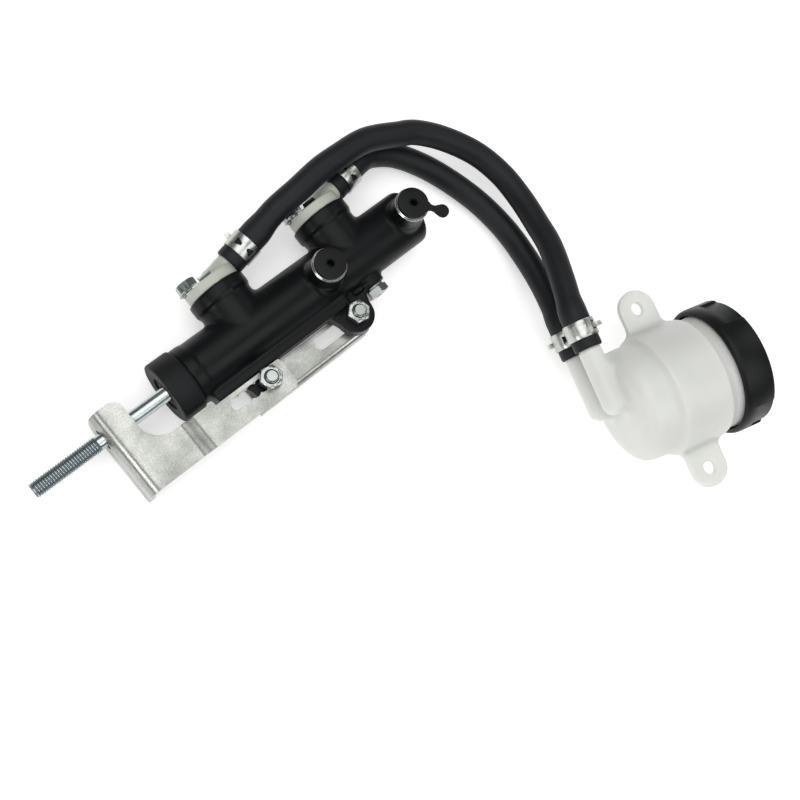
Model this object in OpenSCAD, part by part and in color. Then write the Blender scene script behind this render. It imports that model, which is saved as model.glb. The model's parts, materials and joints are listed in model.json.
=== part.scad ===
// Tandem brake master cylinder: cast cylinder with two pistons, pushrod, adjusting bracket,
// two feed hoses and a remote fluid reservoir, laid out on a bench.
// +X runs along the bore from the pushrod tip to the closed end, +Y is the inlet side, +Z the outlet side.
// The origin is the free end of the pushrod, on the bore axis.

/* [Cylinder body] */
// Pushrod tip to the face of the dust cover, at rest
rod_out = 70; // [62:1:80]
// Face of the dust cover to the closed end of the body
body_len = 149.5; // [149:0.5:156]
// Outside radius of the barrel
body_r = 14; // [13.5:0.1:14.5]
// Radius of the bore
bore_r = 7.95; // [7.85:0.01:8.05]
// First inlet, from the face of the dust cover
inlet_x = 48.3; // [46:0.1:50]
// Distance between the two inlets
inlet_gap = 62.4; // [61:0.1:64]
// Height of the inlet flanges above the bore axis
inlet_top = 25.2; // [24:0.1:27]
// Radius of the inlet flanges
inlet_r = 14.8; // [14:0.1:15.2]
// First outlet port, from the face of the dust cover
port_x = 90.4; // [89:0.1:91]
// Distance between the two outlet ports
port_gap = 51; // [50:0.1:51.5]
// Height of the outlet port faces above the bore axis
port_top = 26.5; // [24:0.5:28]

/* [Pushrod] */
// Diameter of the pushrod thread
rod_thread_d = 8; // [7:0.5:8.5]

/* [Bracket] */
// Front mounting bolt, from the face of the dust cover
bolt_x = 40.4; // [39:0.1:42]
// Distance between the two mounting bolts
bolt_gap = 53.6; // [52:0.1:55]
// Mounting bolts below the bore axis, on the side away from the inlets
bolt_y = 23.3; // [22.5:0.1:24]
// Thickness of the bracket plates
plate_t = 3; // [2:0.5:4]
// Radius of the bolt slots
slot_r = 3.25; // [3.1:0.05:3.5]

/* [Reservoir] */
// Distance between the two ear holes
ear_gap = 85; // [82:0.5:90]
// Radius of the screw cap
cap_r = 32.85; // [32.7:0.05:33.5]
// Radius of the drum
drum_r = 31; // [30.5:0.1:31.5]
// Rise of the reservoir axis towards its cap, in degrees
res_tilt = 5; // [4:0.5:6]

/* [Hoses] */
// Outside diameter of the feed hoses
hose_d = 12.5; // [12:0.1:12.6]
// Diameter where a hose is stretched over a barb
hose_end_d = 14; // [13.6:0.1:14]

/* [Hidden] */
$fn = 64;
gap = 0.05;                // clearance of a fit, and between faces that meet across a joint
cut = 1;                   // how far a cutting shape runs past a face

// Along the bore, all measured from the face of the dust cover
cover_r = 15.4;
cover_len = 12.3;
cover_lip = 3.3;
cover_dish_r = 8.4;
cover_dish = 1.2;
cover_hole_r = 4.2;
collar_to = 17.5;
collar_r = 14.5;
spigot_r = 13;
end_round = 3.5;
bore_end = 144;
clip_x = 5;
clip_t = 1.2;
clip_groove_r = 8.9;
washer_x = clip_x + clip_t;
washer_t = 1.6;
piston_x = washer_x + washer_t + gap;
piston_r = bore_r - gap;
cup_r = bore_r - 0.02;
waist_r = 5;
ball_r = 4.9;
ball_x = 13.2;
shank_r = 3.45;
thread_len = 34;
inlets = [inlet_x, inlet_x + inlet_gap];
ports = [port_x, port_x + port_gap];
bolts = [bolt_x, bolt_x + bolt_gap];
stop_x = inlets[1];
secondary_rear = port_x + 3.2;

// Each piston's front end, measured from its own inlet
land_at = 1.5;
cup_at = 3.3;
cup_len = 2.7;
nose_at = 6.2;
feed_at = -2.8;
vent_at = 6.35;

// Inlet boss, connector and its bolt
neck_r = 13.8;
flange_h = 6.4;
well_off = 2;              // the fluid well stands off the boss axis, to leave room for the bolt
well_r = 6.4;
well_floor = 12.5;
spigot_len = 9.5;
screw_off = -9.6;
m6_r = 3;
m6_hole_r = m6_r + gap;
bolt_flange_r = 5.6;
hex_r = 5.77;              // across the corners of a 10 mm hexagon
conn_plate_r = 13.5;
conn_plate_t = 5;
strip_t = 0.8;
strip_len = 14.5;    // from the bolt towards the tube
strip_wide = 15.2;
strip_eye_r = 4.4;
strip_edge = 2.8;    // height of the edges turned up beside the tube
strip_edge_from = -5;
strip_edge_len = 6.5;
tube_r = 5.5;
dome_r = 5.75;
fork_r = dome_r + 0.15;    // the strip's fork straddles the dome
fork_half = fork_r - 0.12;
tube_tilts = [10.3, 12];   // each tube's rise from the bore, and its swing up from the bench
tube_swings = [12, 0];
tube_lens = [11, 13];
tube_h = 4.3;
barb_r = 4.35;
barb_len = 20;

// Outlet ports, plugs and stop screw
port_r = 8.1;
port_bore_r = 4.2;
port_bore_floor = 13;
plug_r = 7.5;
plug_t = 2;
plug_stem = 10;
plug_pull_tab = 14.4;
stop_boss_r = 6.5;
stop_boss_y = 17.5;
stop_head_t = 4;

// Mounting ears and bracket
ear_z = 4;
ear_r = 9;
rail_y = 17.8;
rail_z = 6.5;
rail_from = 16;
plate_edge = 18.1;
plate_low = 33.2;
flange_x = -33.5;
flange_bottom = -14.5;
flange_top_y = 10.5;
bend_r = 7;
deck_z = 10;               // top of the bracket over the pushrod
joggle_from = -5;
joggle_to = 3;
deck_cut_x = -19.3;
deck_cut_y = 16;
deck_cut_r = 11;
rod_hole_r = 5.2;
lobes = 5;
lobe_pitch = 4.6;
rear_from = 31;
rear_to = 98.5;
rear_lip_z = -12;
rear_slot_from = 73.6;
nut_t = 5.2;
head_t = 4;
hex_turn = 30;

// Reservoir: local X towards the upper ear, local Y up from the bench, local Z towards the cap
bench_z = -cover_r;
drum_from = -13;
drum_to = 13.5;
base_r = 28.5;
base_z = -31;
base_round = 8;
neck_out_r = 29;
rim_z = 31.5;
wall = 2.5;
outlet_z = -35.5;
outlet_n = 9.5;
outlet_r = 5.75;
outlet_from = 4.5;   // where the closed end of each tube is centred
outlet_len = 33;
outlet_bore_r = 2.9;
res_ear_r = 9.7;
res_ear_t = 4;
res_slot_r = 2.9;
res_slot_half = 0.95;
cap_z = 19.9;
cap_top = 36.1;
cap_wall = 2.3;
cap_in_r = 30.2;
cap_grips = 3;
grip_from = 26;        // the recesses between the grips start here, in the outer half of the cap
grip_deep = 0.9;
recess_at = 138;
recess_arc = 39;
res_yaw = -16;
res_x = rod_out + 193.8;
res_y = -146.8;
res_z = bench_z - drum_from * sin(res_tilt) + drum_r * cos(res_tilt);

// Directions of the reservoir's own axes in the row frame
res_a = [cos(res_tilt) * cos(res_yaw), cos(res_tilt) * sin(res_yaw), sin(res_tilt)];
res_e = [-sin(res_yaw), cos(res_yaw), 0];
res_n = cross(res_a, res_e);

function res_point(e, n, a) = [res_x, res_y, res_z] + e * res_e + n * res_n + a * res_a;

// A connector's barb starts where its tube ends
function barb_dir(i) = [cos(tube_tilts[i]) * cos(tube_swings[i]), sin(tube_tilts[i]),
    cos(tube_tilts[i]) * sin(tube_swings[i])];
function barb_point(i, s) =
    [rod_out + inlets[i] + well_off, inlet_top + tube_h, 0] + (tube_lens[i] + s) * barb_dir(i);

// Hand-chosen route of each hose between its two barbs, with X from the face of the dust cover
primary_route = [[92.3, 37.6, 10], [106.8, 38.8, 12.8], [121, 40.5, 13.8], [133, 40.5, 14.2],
    [146, 40, 14], [155, 38, 12.5], [166, 34, 10], [176, 30, 7.5], [188, 20, 4], [198, 5, 2], [202, -11, 2],
    [201, -27, 4], [197, -42, 8], [192, -55, 13], [183, -70, 19]];
secondary_route = [[155, 35, -3], [166, 29, -6], [176, 17, -8.5], [183, 2, -9], [188, -15, -9],
    [190, -33, -8.5], [188, -50, -6], [183, -68, -1.5]];

function route(i, points, side) = concat(
    [barb_point(i, 0), barb_point(i, barb_len / 2), barb_point(i, barb_len)],
    [for (p = points) p + [rod_out, 0, 0]],
    [for (s = [barb_len, barb_len / 2, 0]) res_point(outlet_len + s, side * outlet_n, outlet_z)]);

// A smooth curve through the points: Catmull-Rom, with the end points doubled
function at(p, k) = p[max(0, min(len(p) - 1, k))];
function curve_point(p, k, t) = 0.5 * (2 * at(p, k) + (at(p, k + 1) - at(p, k - 1)) * t
    + (2 * at(p, k - 1) - 5 * at(p, k) + 4 * at(p, k + 1) - at(p, k + 2)) * t * t
    + (3 * at(p, k) - at(p, k - 1) - 3 * at(p, k + 1) + at(p, k + 2)) * t * t * t);
curve_steps = 3;
function curve(p) = concat(
    [for (k = [0 : len(p) - 2], j = [0 : curve_steps - 1]) curve_point(p, k, j / curve_steps)],
    [p[len(p) - 1]]);
function unit(v) = v / norm(v);
function tangent(c, k) = unit(at(c, k + 1) - at(c, k - 1));

// A hose is full size along its run and stretched over the barb at each end
hose_sides = 12;
stretch_rings = 2 * curve_steps;
function hose_r(k, n) =
    min(k, n - 1 - k) < stretch_rings - 1 ? hose_end_d / 2 : hose_d / 2;
function ring(c, k, r) = let(t = tangent(c, k), u = unit(cross(t, [0, 0, 1])), v = cross(u, t))
    [for (s = [0 : hose_sides - 1]) c[k] + r * (cos(360 * s / hose_sides) * u
        + sin(360 * s / hose_sides) * v)];

module hose(points) {
    c = curve(points);
    n = len(c);
    m = hose_sides;
    verts = [for (k = [0 : n - 1]) each ring(c, k, hose_r(k, n))];
    walls = [for (k = [0 : n - 2], s = [0 : m - 1])
        [k * m + s, (k + 1) * m + s, (k + 1) * m + (s + 1) % m, k * m + (s + 1) % m]];
    start = [[for (s = [0 : m - 1]) s]];
    end = [[for (s = [m - 1 : -1 : 0]) (n - 1) * m + s]];
    polyhedron(verts, concat(walls, start, end), convexity = 8);
}

// A round bar along the bore, from a to b as measured from the face of the dust cover
module bar(a, b, r) {
    translate([rod_out + a, 0, 0]) rotate([0, 90, 0]) cylinder(h = b - a, r = r);
}

// Puts a shape on an inlet: its Z becomes +Y, from the bore axis outwards
module on_inlet(i) {
    translate([rod_out + inlets[i], 0, 0]) rotate([-90, 0, 0]) children();
}

module on_port(i) {
    translate([rod_out + ports[i], 0, 0]) children();
}

// Puts a shape on the stop screw: its Z becomes -Y
module on_stop() {
    translate([rod_out + stop_x, 0, 0]) rotate([90, 0, 0]) children();
}

module on_bolt(i) {
    translate([rod_out + bolts[i], -bolt_y, 0]) children();
}

module in_reservoir() {
    translate([res_x, res_y, res_z]) rotate([90 - res_tilt, 0, 90 + res_yaw]) children();
}

module hexagon(h, r) {
    rotate([0, 0, hex_turn]) cylinder(h = h, r = r, $fn = 6);
}

module ring_solid(h, r_out, r_in) {
    difference() {
        cylinder(h = h, r = r_out);
        translate([0, 0, -cut]) cylinder(h = h + 2 * cut, r = r_in);
    }
}

// ---- cylinder -------------------------------------------------------------

module barrel() {
    bar(cover_lip, cover_len + cut, spigot_r);
    bar(cover_len, collar_to, collar_r);
    bar(cover_len, body_len - end_round, body_r);
    bar(body_len - end_round - cut, body_len, body_r - end_round);
    translate([rod_out + body_len - end_round, 0, 0]) rotate([0, 90, 0])
        rotate_extrude() translate([body_r - end_round, 0]) circle(r = end_round, $fn = 32);
}

module inlet_boss() {
    cylinder(h = inlet_top, r = neck_r);
    translate([0, 0, inlet_top - flange_h]) cylinder(h = flange_h, r = inlet_r);
}

module inlet_holes(i) {
    on_inlet(i) {
        translate([well_off, 0, well_floor]) cylinder(h = inlet_top, r = well_r);
        translate([feed_at, 0, bore_r - cut]) cylinder(h = well_floor, r = 1.2, $fn = 24);
        translate([vent_at, 0, bore_r - cut]) cylinder(h = well_floor, r = 0.35, $fn = 24);
        translate([screw_off, 0, inlet_top - 9]) cylinder(h = inlet_top, r = m6_hole_r);
    }
}

module ear() {
    linear_extrude(2 * ear_z, center = true) {
        circle(r = ear_r);
        polygon([[-12, 7], [11, 7], [ear_r - 0.8, -2], [0.8 - ear_r, -2]]);
    }
}

module cylinder_body() {
    color("#1d1e20") difference() {
        union() {
            barrel();
            for (i = [0, 1]) {
                on_inlet(i) inlet_boss();
                on_port(i) cylinder(h = port_top, r = port_r);
                on_port(i) cylinder(h = body_r + 0.5, r = port_r + 0.8);
                on_bolt(i) ear();
            }
            translate([rod_out + rail_from, -rail_y, -rail_z])
                cube([bolts[1] - rail_from, rail_y, 2 * rail_z]);
            on_stop() cylinder(h = stop_boss_y, r = stop_boss_r);
        }
        bar(0, bore_end, bore_r);
        bar(clip_x - gap, clip_x + clip_t + gap, clip_groove_r);
        for (i = [0, 1]) {
            inlet_holes(i);
            on_port(i) translate([0, 0, port_bore_floor]) cylinder(h = port_top, r = port_bore_r);
            on_port(i) cylinder(h = port_top, r = 1.5);
            on_bolt(i) translate([0, 0, -ear_z - cut])
                cylinder(h = 2 * ear_z + 2 * cut, r = slot_r);
        }
        on_stop() translate([0, 0, 9.5]) cylinder(h = stop_boss_y, r = m6_hole_r);
        on_stop() cylinder(h = stop_boss_y, r = 1.5);
    }
}

module dust_cover() {
    color("#2a2a2c") difference() {
        bar(0, cover_len, cover_r);
        bar(-cut, cover_dish, cover_dish_r);
        bar(-cut, cover_len + cut, cover_hole_r);
        bar(cover_lip, cover_len + cut, spigot_r);
    }
}

module circlip() {
    color("#8d9091") translate([rod_out + clip_x, 0, 0]) rotate([0, 90, 0]) difference() {
        ring_solid(clip_t, clip_groove_r - gap, 6.6);
        translate([-2, 4, -cut]) cube([4, 8, clip_t + 2 * cut]);
    }
}

module stop_washer() {
    color("#a9adae") translate([rod_out + washer_x + gap, 0, 0]) rotate([0, 90, 0])
        ring_solid(washer_t - gap, bore_r - 0.1, shank_r + 0.4);
}

module stop_screw() {
    color("#b9bcbd") on_stop() {
        translate([0, 0, stop_boss_y + 1]) cylinder(h = stop_head_t, r = hex_r, $fn = 6);
        translate([0, 0, 9.6]) cylinder(h = stop_boss_y + 1 - 9.6, r = m6_r);
        translate([0, 0, waist_r + 0.5]) cylinder(h = 5, r = 1.3);
    }
}

module stop_screw_washer() {
    color("#b4b5b3") on_stop() translate([0, 0, stop_boss_y]) ring_solid(1, 4.8, m6_hole_r);
}

// ---- inlets, hoses and clamps ----------------------------------------------

module inlet_seal() {
    translate([well_off, 0, inlet_top - spigot_len]) ring_solid(spigot_len - 0.5, well_r, 5);
}

module inlet_seals() {
    color("#232323") for (i = [0, 1]) on_inlet(i) inlet_seal();
}

// Lays a shape along a connector's tube: its Z becomes the tube's axis
module along_tube(i) {
    translate([well_off, 0, tube_h]) rotate([0, 90 - tube_tilts[i], -tube_swings[i]]) children();
}

module connector(i) {
    difference() {
        union() {
            cylinder(h = conn_plate_t, r = conn_plate_r);
            translate([well_off, 0, -spigot_len]) cylinder(h = spigot_len + 1, r = 5);
            translate([well_off, 0, 0]) cylinder(h = tube_h, r = dome_r - 0.2);
            translate([well_off, 0, tube_h]) sphere(r = dome_r);
            along_tube(i) cylinder(h = tube_lens[i], r = tube_r);
            along_tube(i) cylinder(h = tube_lens[i] + barb_len, r = barb_r);
        }
        translate([well_off, 0, -spigot_len - cut]) cylinder(h = spigot_len + tube_h + cut, r = 3);
        along_tube(i) cylinder(h = tube_lens[i] + barb_len + cut, r = 2.9);
        translate([screw_off, 0, -cut]) cylinder(h = conn_plate_t + 2 * cut, r = m6_hole_r + 0.1);
    }
}

module primary_connector() {
    color("#d4d6d0") on_inlet(0) translate([0, 0, inlet_top]) connector(0);
}

module secondary_connector() {
    color("#d4d6d0") on_inlet(1) translate([0, 0, inlet_top]) connector(1);
}

module strip(i) {
    linear_extrude(strip_t) difference() {
        union() {
            translate([screw_off, 0]) circle(r = strip_eye_r);
            translate([screw_off, -strip_wide / 2]) square([strip_len, strip_wide]);
        }
        translate([screw_off, 0]) circle(r = m6_hole_r);
        translate([well_off, 0]) circle(r = fork_r);
        translate([well_off, 0]) rotate(-tube_swings[i]) translate([0, -fork_half])
            square([20, 2 * fork_half]);
    }
    for (side = [-1, 1])
        translate([strip_edge_from, side * (strip_wide / 2 - 0.45) - strip_t / 2, 0])
            cube([strip_edge_len, strip_t, strip_edge]);
}

module retaining_strips() {
    color("#b4b8b8") for (i = [0, 1])
        on_inlet(i) translate([0, 0, inlet_top + conn_plate_t]) strip(i);
}

module connector_bolt() {
    cylinder(h = 1.2, r = bolt_flange_r);
    cylinder(h = 5.2, r = bolt_flange_r - 0.2, $fn = 6);
    translate([0, 0, -strip_t - conn_plate_t - 8]) cylinder(h = 15, r = m6_r);
}

module connector_bolts() {
    color("#b9bcbd") for (i = [0, 1])
        on_inlet(i) translate([screw_off, 0, inlet_top + conn_plate_t + strip_t]) connector_bolt();
}

module primary_hose() {
    color("#1b1b1c") hose(route(0, primary_route, 1));
}

module secondary_hose() {
    color("#1b1b1c") hose(route(1, secondary_route, -1));
}

clamp_at = 9.5;            // middle of a clamp, from the end of its hose
clamp_w = 8.5;
clamp_r = hose_end_d / 2 + gap;
clamp_t = 0.8;
clamp_tang = 4;

module clamp() {
    translate([0, 0, -clamp_w / 2]) ring_solid(clamp_w, clamp_r + clamp_t, clamp_r);
    for (z = [-clamp_w / 2, 0.4])
        translate([clamp_r + 0.3, -1.5, z]) cube([clamp_tang, 3, clamp_w / 2 - 0.4]);
}

module cylinder_clamps() {
    color("#b0b4b5") for (i = [0, 1])
        on_inlet(i) translate([0, 0, inlet_top]) along_tube(i)
            translate([0, 0, tube_lens[i] + clamp_at]) rotate([0, 0, 100]) clamp();
}

module reservoir_clamps() {
    color("#b0b4b5") in_reservoir() for (side = [-1, 1])
        translate([outlet_len + clamp_at, side * outlet_n, outlet_z]) rotate([0, 90, 0])
            rotate([0, 0, side * 90]) clamp();
}

// ---- bracket ---------------------------------------------------------------

function arc(cx, cy, r, a0, a1, n) =
    [for (k = [0 : n]) [cx + r * cos(a0 + (a1 - a0) * k / n), cy + r * sin(a0 + (a1 - a0) * k / n)]];

front_top = ear_z + plate_t;
front_end = bolts[0] + 9.6;
bend_x = flange_x + bend_r;
bend_z = deck_z - bend_r;
bend_steps = 8;

module bent_strip() {
    rotate([90, 0, 0]) linear_extrude(plate_low + flange_top_y) polygon(concat(
        [[flange_x, flange_bottom]],
        arc(bend_x, bend_z, bend_r, 180, 90, bend_steps),
        [[joggle_from, deck_z], [joggle_to, front_top], [front_end, front_top], [front_end, ear_z],
         [joggle_to - 1, ear_z], [joggle_from - 1, deck_z - plate_t]],
        arc(bend_x, bend_z, bend_r - plate_t, 90, 180, bend_steps),
        [[flange_x + plate_t, flange_bottom]]));
}

module deck_cutout() {
    translate([deck_cut_x + deck_cut_r, deck_cut_r - deck_cut_y]) circle(r = deck_cut_r);
    translate([deck_cut_x + deck_cut_r, -deck_cut_y]) square([100, 100]);
    translate([deck_cut_x, deck_cut_r - deck_cut_y]) square([100, 100]);
    translate([rail_from - 2, -plate_edge]) square([100, 100]);
}

module bracket_front() {
    color("#b7bab9") translate([rod_out, 0, 0]) difference() {
        translate([0, flange_top_y, 0]) bent_strip();
        translate([0, 0, -20]) linear_extrude(60) deck_cutout();
        translate([flange_x - cut, 0, 0]) rotate([0, 90, 0])
            cylinder(h = plate_t + 2 * cut, r = rod_hole_r);
        for (k = [0 : lobes - 1])
            translate([bolts[0] - k * lobe_pitch, -bolt_y, 0]) cylinder(h = 20, r = slot_r);
    }
}

module rear_section() {
    polygon(concat([[-plate_edge, -ear_z], [-plate_edge, -ear_z - plate_t],
        [plate_t - plate_low, -ear_z - plate_t], [plate_t - plate_low, rear_lip_z],
        [-plate_low, rear_lip_z]],
        arc(plate_t - plate_low, -ear_z - plate_t, plate_t, 180, 90, bend_steps)));
}

rear_corner = 4;

module rear_outline() {
    translate([rear_from, -50]) square([rear_to - rear_corner - rear_from, 50]);
    translate([rear_from, -plate_low + rear_corner])
        square([rear_to - rear_from, plate_low - plate_edge - 2 * rear_corner]);
    for (y = [-plate_low + rear_corner, -plate_edge - rear_corner])
        translate([rear_to - rear_corner, y]) circle(r = rear_corner);
}

module bracket_rear() {
    color("#aeb1b0") translate([rod_out, 0, 0]) difference() {
        intersection() {
            rotate([90, 0, 90]) linear_extrude(rear_to + cut) rear_section();
            translate([0, 0, -20]) linear_extrude(20) rear_outline();
        }
        translate([bolts[0], -bolt_y, -20]) cylinder(h = 20, r = slot_r);
        translate([rear_slot_from, -bolt_y, -20]) cylinder(h = 20, r = slot_r);
        translate([bolts[1], -bolt_y, -20]) cylinder(h = 20, r = slot_r);
        translate([rear_slot_from, -bolt_y - slot_r, -20])
            cube([bolts[1] - rear_slot_from, 2 * slot_r, 20]);
    }
}

nut_seats = [ear_z + plate_t, ear_z];

module mount_bolts() {
    color("#b9bcbd") for (i = [0, 1]) on_bolt(i) translate([0, 0, -ear_z - plate_t]) {
        translate([0, 0, -head_t]) hexagon(head_t, hex_r);
        translate([0, 0, -cut])
            cylinder(h = cut + ear_z + plate_t + nut_seats[i] + nut_t + 2, r = m6_r);
    }
}

module mount_nuts() {
    color("#c2c5c5") for (i = [0, 1]) on_bolt(i) translate([0, 0, nut_seats[i]]) difference() {
        hexagon(nut_t, hex_r);
        translate([0, 0, -cut]) cylinder(h = nut_t + 2 * cut, r = m6_hole_r);
    }
}

// ---- pistons and pushrod ---------------------------------------------------

module pushrod() {
    color("#a7acad") {
        bar(-rod_out, thread_len - rod_out, rod_thread_d / 2);
        bar(thread_len - rod_out - cut, ball_x, shank_r);
        translate([rod_out + ball_x, 0, 0]) sphere(r = ball_r);
    }
}

seal_x = 20;
seal_len = 3;
seal_seat_r = 5.6;
nose_r = 4.2;

// The front end that both pistons share: a land, and a nose that carries the cup
module piston_front(i) {
    bar(inlets[i] + land_at, inlets[i] + cup_at, piston_r);
    bar(inlets[i], inlets[i] + nose_at, nose_r);
}

module primary_piston() {
    color("#c9c4b4") difference() {
        union() {
            bar(piston_x, seal_x, piston_r);
            bar(seal_x, seal_x + seal_len, seal_seat_r);
            bar(seal_x + seal_len, seal_x + seal_len + 3, piston_r);
            bar(seal_x + seal_len, inlets[0] + land_at, waist_r);
            piston_front(0);
        }
        bar(0, ball_x, ball_r + gap);
        translate([rod_out + ball_x, 0, 0]) sphere(r = ball_r + gap);
    }
}

module cup(x0, x1, r_in) {
    difference() {
        bar(x0, x1, cup_r);
        bar(x0 - cut, x1 + cut, r_in);
    }
}

module primary_cup() {
    color("#202022") cup(inlets[0] + cup_at, inlets[0] + cup_at + cup_len, nose_r);
}

module primary_rear_seal() {
    color("#202022") cup(seal_x, seal_x + seal_len, seal_seat_r);
}

rear_cup_len = 2.7;

module secondary_piston() {
    color("#c9c4b4") {
        bar(secondary_rear, secondary_rear + rear_cup_len, nose_r);
        bar(secondary_rear + rear_cup_len, secondary_rear + rear_cup_len + 2, piston_r);
        bar(secondary_rear + rear_cup_len, inlets[1] + land_at, waist_r);
        piston_front(1);
    }
}

module secondary_front_cup() {
    color("#202022") cup(inlets[1] + cup_at, inlets[1] + cup_at + cup_len, nose_r);
}

module secondary_rear_cup() {
    color("#202022") cup(secondary_rear, secondary_rear + rear_cup_len, nose_r);
}

wire_r = 0.8;
coil_r = 6;
wire_sides = 6;
steps_per_turn = 12;

// A compression spring along the bore, as a swept helix
module spring(x0, x1, turns) {
    n = turns * steps_per_turn;
    verts = [for (k = [0 : n], s = [0 : wire_sides - 1])
        let(a = 360 * k / steps_per_turn, b = 360 * s / wire_sides, r = coil_r + wire_r * cos(b))
        [rod_out + x0 + wire_r + (x1 - x0 - 2 * wire_r) * k / n + wire_r * sin(b),
         r * cos(a), r * sin(a)]];
    m = wire_sides;
    walls = [for (k = [0 : n - 1], s = [0 : m - 1])
        [k * m + s, k * m + (s + 1) % m, (k + 1) * m + (s + 1) % m, (k + 1) * m + s]];
    polyhedron(verts, concat(walls, [[for (s = [m - 1 : -1 : 0]) s]],
        [[for (s = [0 : m - 1]) n * m + s]]), convexity = 10);
}

module primary_spring() {
    color("#9da1a3") spring(inlets[0] + nose_at + 0.2, secondary_rear - 0.2, 8);
}

module secondary_spring() {
    color("#9da1a3") spring(inlets[1] + nose_at + 0.2, bore_end - 0.2, 6);
}

// ---- transit plugs ---------------------------------------------------------

module plug() {
    translate([0, 0, port_top + gap]) difference() {
        cylinder(h = plug_t, r = plug_r);
        translate([0, 0, plug_t / 2]) cylinder(h = plug_t, r = 1.8);
    }
    translate([0, 0, port_top + gap - plug_stem]) cylinder(h = plug_stem, r = port_bore_r - gap);
}

module pull_tab() {
    translate([0, 0, port_top + gap]) rotate([0, 0, -50]) {
        translate([plug_r - 1, -1.5, 0]) cube([plug_pull_tab - plug_r, 3, plug_t]);
        translate([plug_pull_tab, 0, 0]) cylinder(h = plug_t, r = 3.2);
    }
}

module primary_port_plug() {
    color("#161617") on_port(0) plug();
}

module secondary_port_plug() {
    color("#161617") on_port(1) {
        plug();
        pull_tab();
    }
}

// ---- reservoir -------------------------------------------------------------

module reservoir_skin() {
    rotate_extrude($fn = 96) polygon(concat([[0, base_z]],
        arc(base_r - base_round, base_z + base_round, base_round, -90, 0, bend_steps),
        [[base_r, drum_from - 1], [drum_r, drum_from + 1], [drum_r, drum_to],
         [neck_out_r, drum_to + 1.5], [neck_out_r, rim_z], [0, rim_z]]));
}

module reservoir_cavity() {
    translate([0, 0, base_z + wall]) cylinder(h = 100, r = base_r - wall - 1);
    translate([0, 0, drum_from + wall]) cylinder(h = drum_to - drum_from - 2 * wall + 1, r = drum_r - wall);
    translate([0, 0, drum_to - 2]) cylinder(h = 100, r = neck_out_r - wall);
}

module reservoir_ears() {
    rotate([90, 0, 0]) linear_extrude(res_ear_t, center = true) difference() {
        union() {
            translate([-ear_gap / 2, -res_ear_r]) square([ear_gap, 2 * res_ear_r]);
            for (side = [-1, 1]) translate([side * ear_gap / 2, 0]) circle(r = res_ear_r);
        }
        for (side = [-1, 1], off = [-1, 1])
            translate([side * ear_gap / 2 + off * res_slot_half, 0]) circle(r = res_slot_r);
        for (side = [-1, 1]) translate([side * ear_gap / 2 - res_slot_half, -res_slot_r])
            square([2 * res_slot_half, 2 * res_slot_r]);
    }
}

module outlet_tubes() {
    for (side = [-1, 1]) translate([0, side * outlet_n, outlet_z]) {
        translate([outlet_from, 0, 0]) {
            sphere(r = outlet_r + 0.15);
            rotate([0, 90, 0]) cylinder(h = outlet_len - outlet_from, r = outlet_r);
            translate([0, -outlet_r + 0.5, 0]) cube([18, 2 * outlet_r - 1, base_z - outlet_z + 2]);
        }
        rotate([0, 90, 0]) translate([0, 0, outlet_len - 1]) cylinder(h = barb_len + 1, r = barb_r);
    }
    translate([outlet_from, -outlet_n, outlet_z + 2]) cube([16, 2 * outlet_n, base_z - outlet_z]);
}

module reservoir_body() {
    color("#e9ebe6") in_reservoir() difference() {
        union() {
            reservoir_skin();
            reservoir_ears();
            outlet_tubes();
            for (z = [22, 26]) translate([0, 0, z]) cylinder(h = 1.6, r = neck_out_r + 0.7);
        }
        reservoir_cavity();
        for (side = [-1, 1]) translate([outlet_from, side * outlet_n, outlet_z]) {
            rotate([0, 90, 0]) cylinder(h = outlet_len - outlet_from + barb_len + cut, r = outlet_bore_r);
            translate([2, 0, 0]) cylinder(h = 10, r = 2.4);
        }
    }
}

module reservoir_cap() {
    color("#17181a") in_reservoir() difference() {
        union() {
            translate([0, 0, cap_z]) cylinder(h = cap_top - cap_z - 1.5, r = cap_r, $fn = 96);
            translate([0, 0, cap_top - 1.5]) cylinder(h = 1.5, r1 = cap_r, r2 = cap_r - 1.5, $fn = 96);
        }
        translate([0, 0, cap_z - cut]) cylinder(h = cap_top - cap_z - cap_wall + cut, r = cap_in_r, $fn = 96);
        for (k = [0 : cap_grips - 1]) translate([0, 0, grip_from]) linear_extrude(20)
            grip_recess(recess_at + 360 * k / cap_grips);
    }
}

module grip_recess(start) {
    difference() {
        polygon(concat([[0, 0]], [for (t = [0 : 6]) 40 * [cos(start + recess_arc * t / 6),
            sin(start + recess_arc * t / 6)]]));
        circle(r = cap_r - grip_deep, $fn = 96);
    }
}

module cap_plate() {
    color("#3a3b3d") in_reservoir() translate([0, 0, rim_z + 1]) {
        ring_solid(1, neck_out_r - 0.6, 9);
        translate([0, 0, 1]) ring_solid(0.25, 12, 9);
    }
}

module diaphragm() {
    color("#2a2b2d") in_reservoir() translate([0, 0, rim_z + gap]) difference() {
        union() {
            cylinder(h = 0.9, r = neck_out_r - 0.6);
            translate([0, 0, -9]) cylinder(h = 9.5, r = 23);
        }
        translate([0, 0, -8]) cylinder(h = 20, r = 22);
    }
}

cylinder_body();
dust_cover();
circlip();
stop_washer();
inlet_seals();
primary_connector();
secondary_connector();
retaining_strips();
connector_bolts();
primary_hose();
secondary_hose();
cylinder_clamps();
reservoir_clamps();
stop_screw();
stop_screw_washer();
bracket_front();
bracket_rear();
mount_bolts();
mount_nuts();
pushrod();
primary_piston();
primary_cup();
primary_rear_seal();
primary_spring();
secondary_piston();
secondary_front_cup();
secondary_rear_cup();
secondary_spring();
primary_port_plug();
secondary_port_plug();
reservoir_body();
reservoir_cap();
cap_plate();
diaphragm();
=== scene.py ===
"""Tandem brake master cylinder with its bracket, feed hoses and remote reservoir, laid out on a bench."""

import json
import math

import bmesh
import bpy
from mathutils import Matrix, Vector

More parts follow.
